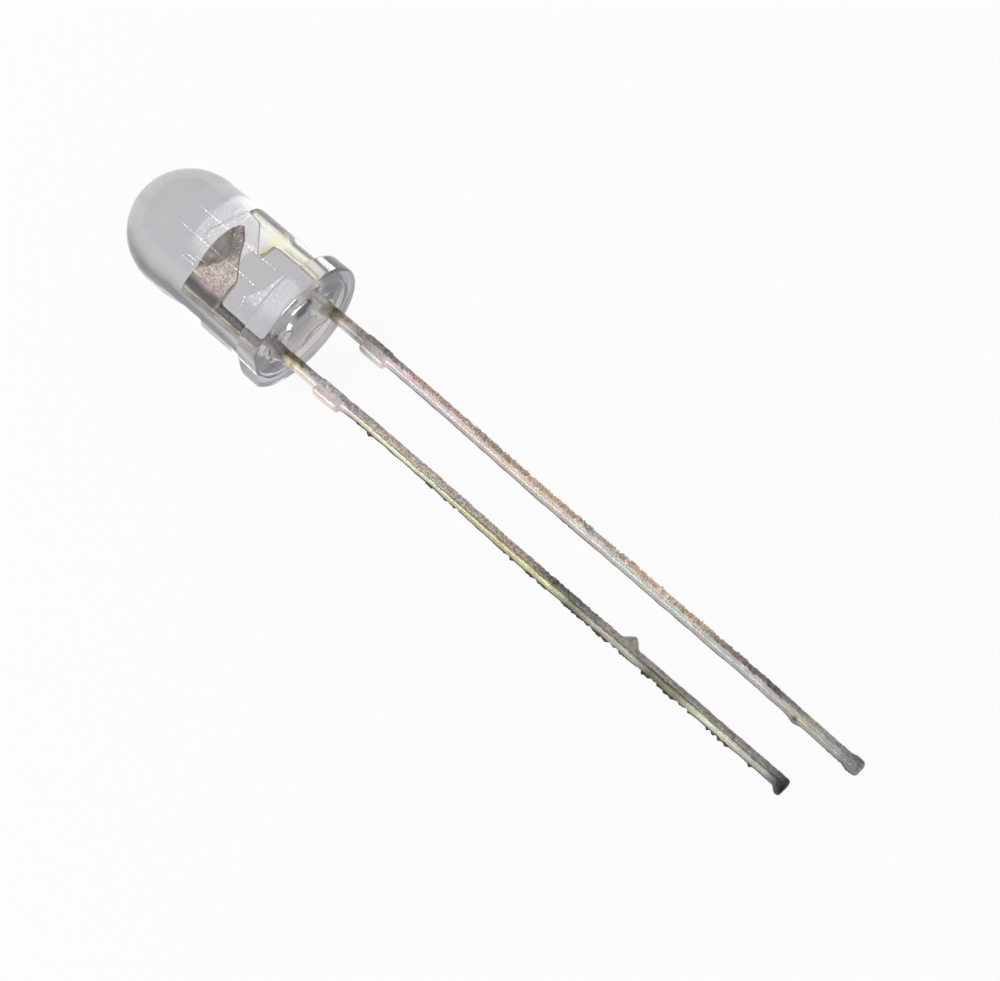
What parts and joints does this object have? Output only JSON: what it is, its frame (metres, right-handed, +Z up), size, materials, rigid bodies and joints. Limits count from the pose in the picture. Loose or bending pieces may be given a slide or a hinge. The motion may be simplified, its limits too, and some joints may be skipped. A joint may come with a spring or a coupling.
{
  "type": "through hole led",
  "caption": "Round clear epoxy light emitting diode with a flanged base, a long anode lead and a short cathode lead, lying on its flange and lead tips.",
  "frame": {"origin": "bottom centre of the box around the lying LED, on the surface it rests on", "axes": "+X along the LED towards the lead tips, +Y across it towards the anode side, +Z up"},
  "size_m": [0.0354, 0.0056, 0.006],
  "materials": {
    "lens_body": "gloss",
    "cathode_lead": "satin",
    "anode_lead": "satin",
    "led_die": "gloss",
    "die_attach": "matte",
    "bond_wire": "polished"
  },
  "bodies": {
    "root": {"lens_body": "lens_body", "cathode_lead": "cathode_lead", "anode_lead": "anode_lead", "led_die": "led_die", "die_attach": "die_attach", "bond_wire": "bond_wire"}
  },
  "joints": []
}
